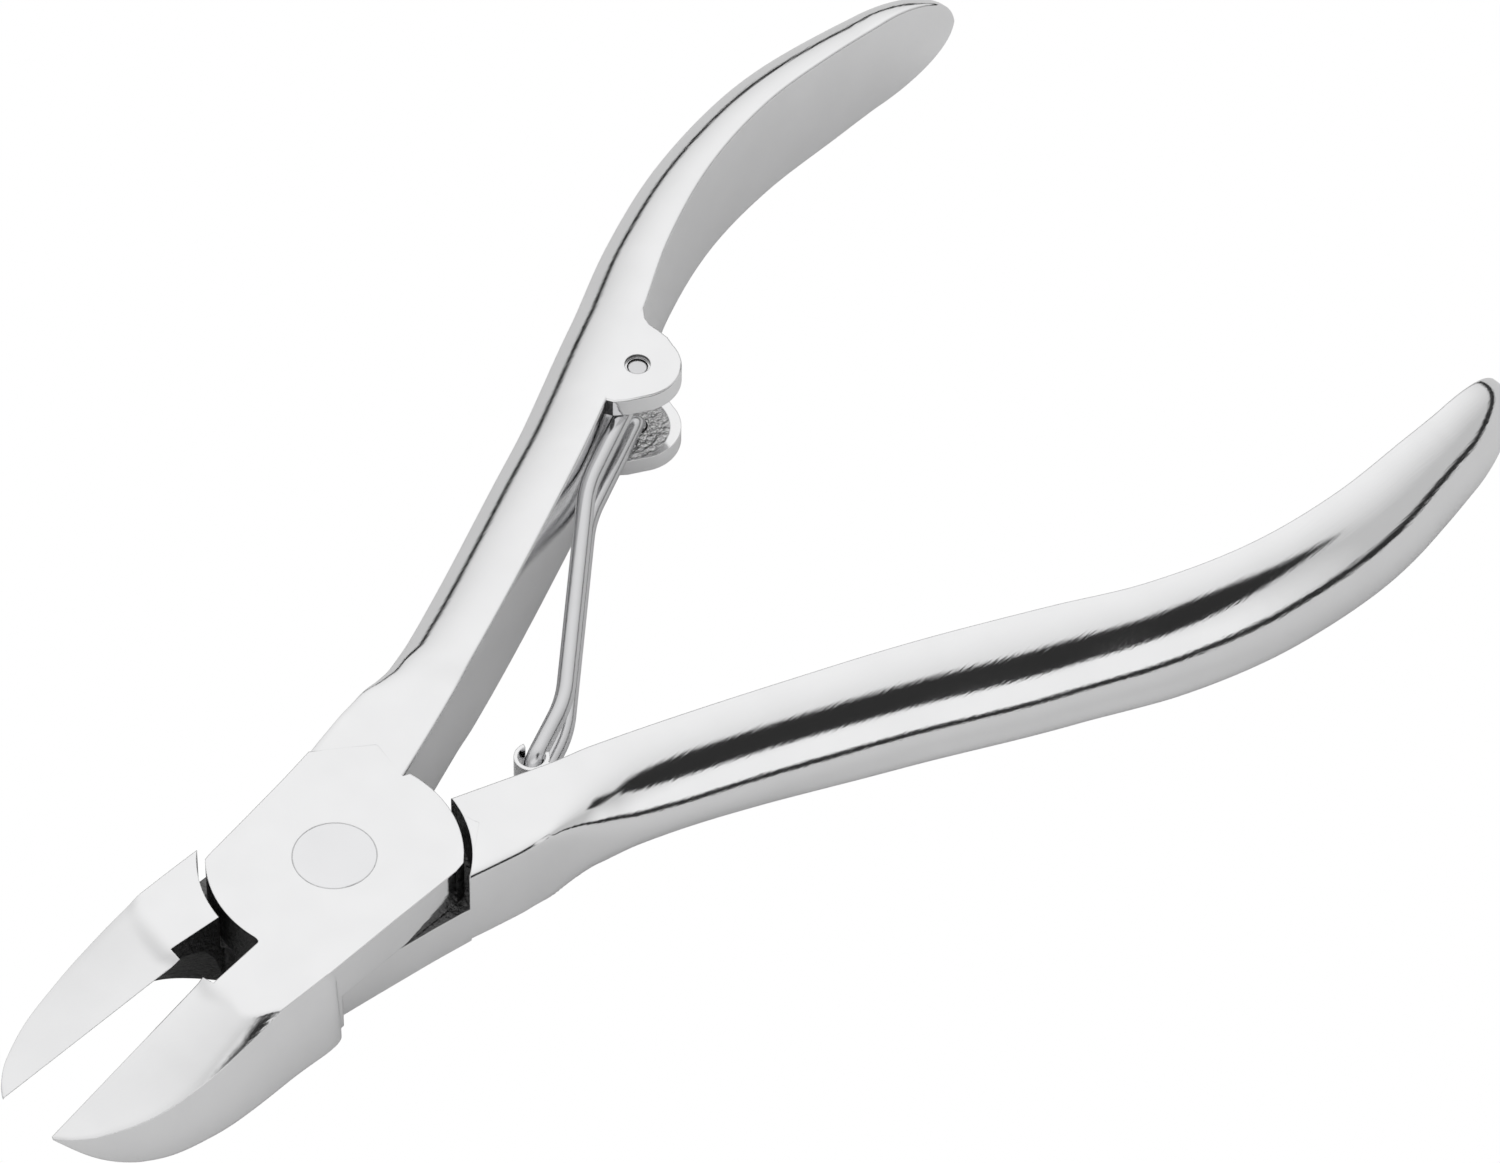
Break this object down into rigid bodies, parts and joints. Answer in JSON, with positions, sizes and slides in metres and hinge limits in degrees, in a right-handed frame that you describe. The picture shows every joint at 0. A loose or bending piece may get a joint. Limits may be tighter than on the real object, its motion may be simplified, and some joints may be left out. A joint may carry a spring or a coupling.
{
  "type": "nail clipper",
  "caption": "Plier-type nail clipper: two polished steel levers crossed on a riveted lap joint, with short curved cutting jaws, bowed handles and a wire return spring.",
  "frame": {"origin": "where the rivet's axis meets the underside of the flat lap joint", "axes": "+X from the rivet towards the handles along the line midway between the levers, +Y towards lever A's handle, +Z along the rivet's axis"},
  "size_m": [0.1235, 0.0678, 0.0101],
  "materials": {
    "polished_steel": "polished stainless steel",
    "rivet_steel": "polished stainless steel, ground flush",
    "spring_wire": "bright drawn stainless spring wire",
    "catch_steel": "polished stainless steel"
  },
  "bodies": {
    "lever_a": {"lever_a": "polished_steel", "pivot_rivet": "rivet_steel"},
    "lever_b": {"lever_b": "polished_steel", "spring_catch": "catch_steel"},
    "spring": {"return_spring": "spring_wire"}
  },
  "joints": [
    {"name": "lever_pivot", "type": "hinge", "parent": "lever_a", "child": "lever_b", "pos_m": [0, 0, 0.00363], "axis": [0, 0, 1], "range_deg": [0, 9.2], "stiffness_Nm_per_rad": 0.6, "springref_deg": -14.32, "deforming": ["return_spring"]},
    {"name": "spring_swing", "type": "hinge", "parent": "lever_a", "child": "spring", "pos_m": [0.04807, 0.01719, 0.00363], "axis": [0, 0, 1], "range_deg": [-3.6, 0.1]}
  ],
  "couplings": [
    {"joint": "spring_swing", "follows": "lever_pivot", "ratio": -0.38}
  ]
}
